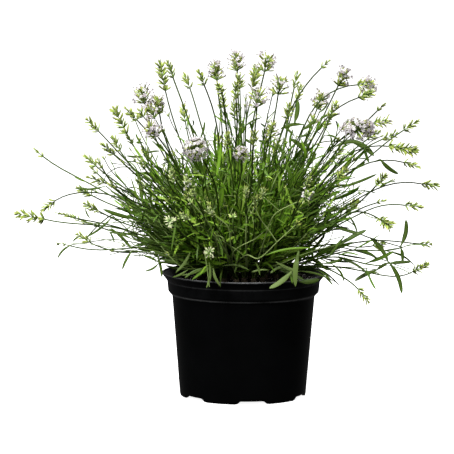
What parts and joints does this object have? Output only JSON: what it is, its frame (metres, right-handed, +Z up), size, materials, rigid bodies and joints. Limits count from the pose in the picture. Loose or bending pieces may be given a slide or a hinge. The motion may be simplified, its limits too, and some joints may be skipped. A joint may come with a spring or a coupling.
{
  "type": "potted lavender",
  "caption": "Lavender plant in a round nursery pot: a fan of thin flowering stems with whorled spikes rising from narrow-leaved shoots in a tapered plastic pot of soil.",
  "frame": {"origin": "the middle of the pot's base, on the surface that it stands on", "axes": "+Z up along the pot's axis, +X to the right of someone who looks at the front, +Y away from them"},
  "size_m": [0.3883, 0.3405, 0.3171],
  "materials": {
    "pot_plastic": "black moulded plastic with a satin sheen",
    "soil": "dark peaty potting soil with a few white specks",
    "foliage": "matt green leaves, stems and calyces",
    "spike": "downy yellow-green calyces",
    "corolla": "pale lilac petals"
  },
  "bodies": {
    "root": {"pot": "pot_plastic", "soil": "soil", "spray_01": "foliage", "spray_02": "foliage", "spray_03": "foliage", "spray_04": "foliage", "spray_05": "foliage", "spray_06": "foliage", "spray_07": "foliage", "spray_08": "foliage", "spray_09": "foliage", "spray_10": "foliage", "spray_11": "foliage", "spray_12": "foliage", "spray_13": "foliage", "spray_14": "foliage", "spray_15": "foliage", "spray_16": "foliage", "spray_17": "foliage", "spray_18": "foliage", "spray_19": "foliage", "spray_20": "foliage", "spray_21": "foliage", "spray_22": "foliage", "spray_23": "foliage", "spray_24": "foliage", "spray_25": "foliage", "spray_26": "foliage", "spray_27": "foliage", "spray_28": "foliage", "spray_29": "foliage", "spray_30": "foliage", "spray_31": "foliage", "spray_32": "foliage", "spray_33": "foliage", "spray_34": "foliage", "spray_35": "foliage", "spray_36": "foliage"}
  },
  "joints": []
}
